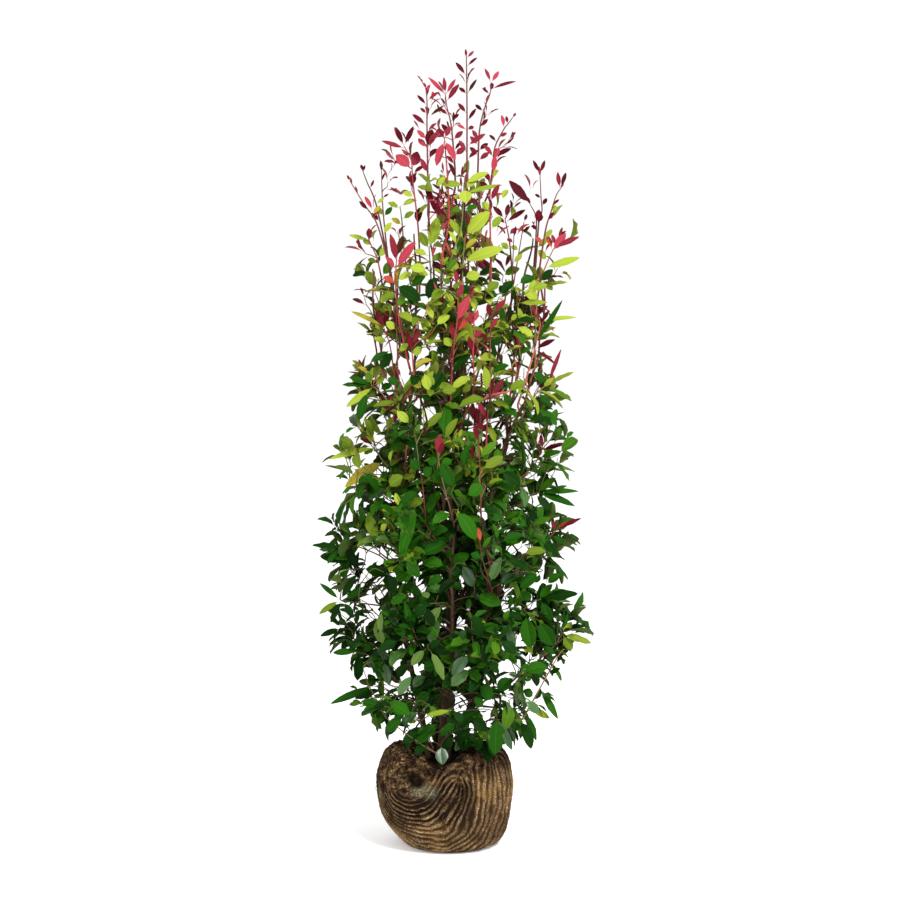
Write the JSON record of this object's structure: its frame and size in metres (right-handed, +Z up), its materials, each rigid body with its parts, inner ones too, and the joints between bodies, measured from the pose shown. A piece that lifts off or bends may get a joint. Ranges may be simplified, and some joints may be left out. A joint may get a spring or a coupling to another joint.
{
  "type": "photinia shrub on a wrapped root ball",
  "caption": "Slim upright evergreen shrub with glossy dark green leaves and red young shoots, on stems that rise from a root ball wrapped in jute, for a hedge or a screen.",
  "frame": {"origin": "centre of the flat underside of the root ball, on the ground", "axes": "+Z up along the plant, -Y towards the front, +X to the right seen from the front"},
  "size_m": [0.686, 0.5637, 1.985],
  "materials": {
    "root_ball": "ribbed brown jute cloth drawn tight over a ball of soil, rough and matt",
    "bark": "thin grey-brown bark, finely cracked, redder on the young wood",
    "foliage_dark": "glossy leathery dark green leaves with paler undersides",
    "foliage_light": "softer lime and olive leaves of the last growth, half gloss",
    "foliage_red": "thin young leaves in coral, crimson and maroon, half gloss"
  },
  "bodies": {
    "root": {"bough_high_back": "bark", "bough_high_right": "bark", "bough_low_back": "bark", "bough_low_left": "bark", "bough_low_right": "bark", "bough_mid_front": "bark", "bough_mid_left": "bark", "bough_mid_right": "bark", "bough_top_left": "bark", "bough_top_right": "bark", "mass_lower_1": "foliage_dark", "mass_lower_2": "foliage_dark", "mass_lower_3": "foliage_dark", "mass_lower_4": "foliage_dark", "mass_lower_5": "foliage_dark", "mass_lower_6": "foliage_dark", "mass_middle_1": "foliage_dark", "mass_middle_2": "foliage_dark", "mass_middle_3": "foliage_dark", "mass_middle_4": "foliage_dark", "mass_middle_5": "foliage_dark", "mass_neck_1": "foliage_light", "mass_neck_2": "foliage_light", "mass_neck_3": "foliage_light", "mass_neck_4": "foliage_light", "mass_shoulder_1": "foliage_dark", "mass_shoulder_2": "foliage_dark", "mass_shoulder_3": "foliage_dark", "mass_shoulder_4": "foliage_dark", "mass_shoulder_5": "foliage_dark", "mass_skirt_1": "foliage_dark", "mass_skirt_2": "foliage_dark", "mass_skirt_3": "foliage_dark", "mass_upper_1": "foliage_dark", "mass_upper_2": "foliage_dark", "mass_upper_3": "foliage_dark", "mass_upper_4": "foliage_dark", "mass_upper_5": "foliage_dark", "root_ball": "root_ball", "spray_centre_plume": "foliage_red", "spray_coral_spray": "foliage_light", "spray_far_left_twig": "foliage_red", "spray_far_right_twig": "foliage_red", "spray_heart_back": "foliage_light", "spray_heart_front": "foliage_light", "spray_leader": "foliage_red", "spray_left_fan": "foliage_red", "spray_left_plume": "foliage_red", "spray_left_spray": "foliage_light", "spray_maroon_spray": "foliage_light", "spray_red_spray": "foliage_red", "spray_right_mast": "foliage_red", "spray_right_plume": "foliage_red", "spray_right_spray": "foliage_light", "spray_right_twig": "foliage_red", "stem_back": "bark", "stem_front": "bark", "stem_left": "bark", "stem_right": "bark", "trunk": "bark"}
  },
  "joints": []
}
